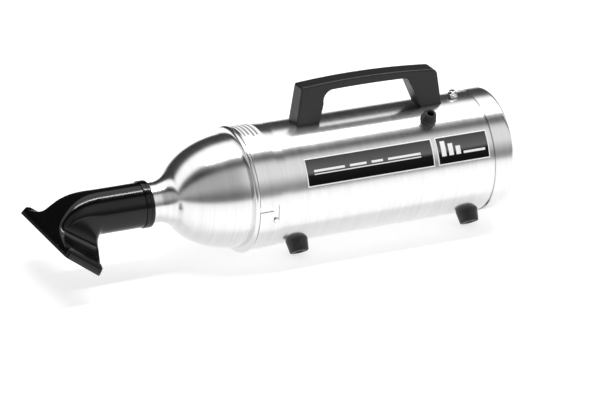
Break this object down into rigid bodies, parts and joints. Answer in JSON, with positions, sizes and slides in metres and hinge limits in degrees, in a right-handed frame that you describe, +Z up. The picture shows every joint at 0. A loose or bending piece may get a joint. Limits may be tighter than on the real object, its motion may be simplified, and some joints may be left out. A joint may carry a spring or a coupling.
{
  "type": "car dryer blower",
  "caption": "Canister hand vacuum-blower: brushed steel tube with a domed bayonet nose, swivelling upholstery nozzle, bridge handle, push switch and rubber feet.",
  "frame": {"origin": "on the floor under the middle of the whole machine", "axes": "+X along the tube towards the rear cap, +Z up; the nozzle points to -X"},
  "size_m": [0.4624, 0.1192, 0.1564],
  "materials": {
    "brushed_steel": "circumferentially brushed",
    "bright_steel": "bright plated",
    "plain_steel": "zinc plated",
    "satin_black_plastic": "satin moulded",
    "gloss_black_plastic": "gloss moulded",
    "black_rubber": "matte rubber",
    "badge_black": "gloss printed foil",
    "sticker_white": "satin paper",
    "bag_paper": "filter cloth",
    "foam": "open foam",
    "grey_plastic": "moulded",
    "cast_aluminium": "die cast",
    "laminated_steel": "stacked laminations",
    "copper": "enamelled wire",
    "brass": "bright",
    "carbon": "pressed carbon"
  },
  "bodies": {
    "housing": {"body_tube": "brushed_steel", "rear_cap": "brushed_steel", "exhaust_filter": "foam", "cap_stud": "plain_steel", "cap_spider": "plain_steel", "cap_nut": "bright_steel", "badge_long": "badge_black", "badge_short": "badge_black", "rating_sticker": "sticker_white", "handle": "satin_black_plastic", "handle_screws": "plain_steel", "handle_washers": "plain_steel", "foot_front_left": "black_rubber", "foot_front_right": "black_rubber", "foot_rear_left": "black_rubber", "foot_rear_right": "black_rubber", "foot_screws": "plain_steel", "foot_nuts": "plain_steel", "cord_gland": "black_rubber", "gland_nut": "grey_plastic", "switch_bushing": "bright_steel", "switch_nut": "bright_steel", "switch_locknut": "plain_steel", "switch_body": "grey_plastic", "switch_blades": "brass", "front_bearing_outer_race": "bright_steel", "front_bearing_balls": "bright_steel", "rear_bearing_outer_race": "bright_steel", "rear_bearing_balls": "bright_steel", "stator_core": "laminated_steel", "field_coils": "copper", "front_bracket": "cast_aluminium", "rear_bracket": "cast_aluminium", "brush_holders": "brass", "carbon_brushes": "carbon", "motor_screws": "plain_steel", "inner_leads": "black_rubber", "fan_intake_shell": "plain_steel", "diffuser": "cast_aluminium", "motor_guard": "plain_steel", "front_mount_ring": "black_rubber", "rear_mount_ring": "black_rubber"},
    "nose": {"nose_dome": "brushed_steel", "bayonet_pins": "bright_steel", "bag_inlet_pipe": "plain_steel", "bag_pipe_ring": "plain_steel", "bag_collar": "black_rubber", "filter_bag": "bag_paper"},
    "cuff": {"nozzle_cuff": "gloss_black_plastic"},
    "nozzle": {"nozzle_body": "gloss_black_plastic", "nozzle_strip": "gloss_black_plastic"},
    "rotor": {"motor_shaft": "plain_steel", "impeller": "cast_aluminium", "impeller_nut": "plain_steel", "front_bearing_inner_race": "bright_steel", "rear_bearing_inner_race": "bright_steel", "armature_core": "laminated_steel", "armature_windings": "copper", "commutator": "brass"},
    "button": {"switch_button": "bright_steel"}
  },
  "joints": [
    {"name": "nose_twist", "type": "hinge", "parent": "housing", "child": "nose", "pos_m": [-0.0394, 0, 0.061], "axis": [-1, 0, 0], "range_deg": [0, 12.5]},
    {"name": "nozzle_pull", "type": "slide", "parent": "nose", "child": "cuff", "axis": [-1, 0, 0], "range_m": [0, 0.026]},
    {"name": "nozzle_swivel", "type": "hinge", "parent": "cuff", "child": "nozzle", "pos_m": [-0.1494, 0, 0.061], "axis": [1, 0, 0], "continuous": true},
    {"name": "rotor_spin", "type": "hinge", "parent": "housing", "child": "rotor", "pos_m": [0.1106, 0, 0.061], "axis": [1, 0, 0], "continuous": true},
    {"name": "switch_press", "type": "slide", "parent": "housing", "child": "button", "axis": [0, 0, -1], "range_m": [0, 0.0025], "stiffness_N_per_m": 400}
  ]
}
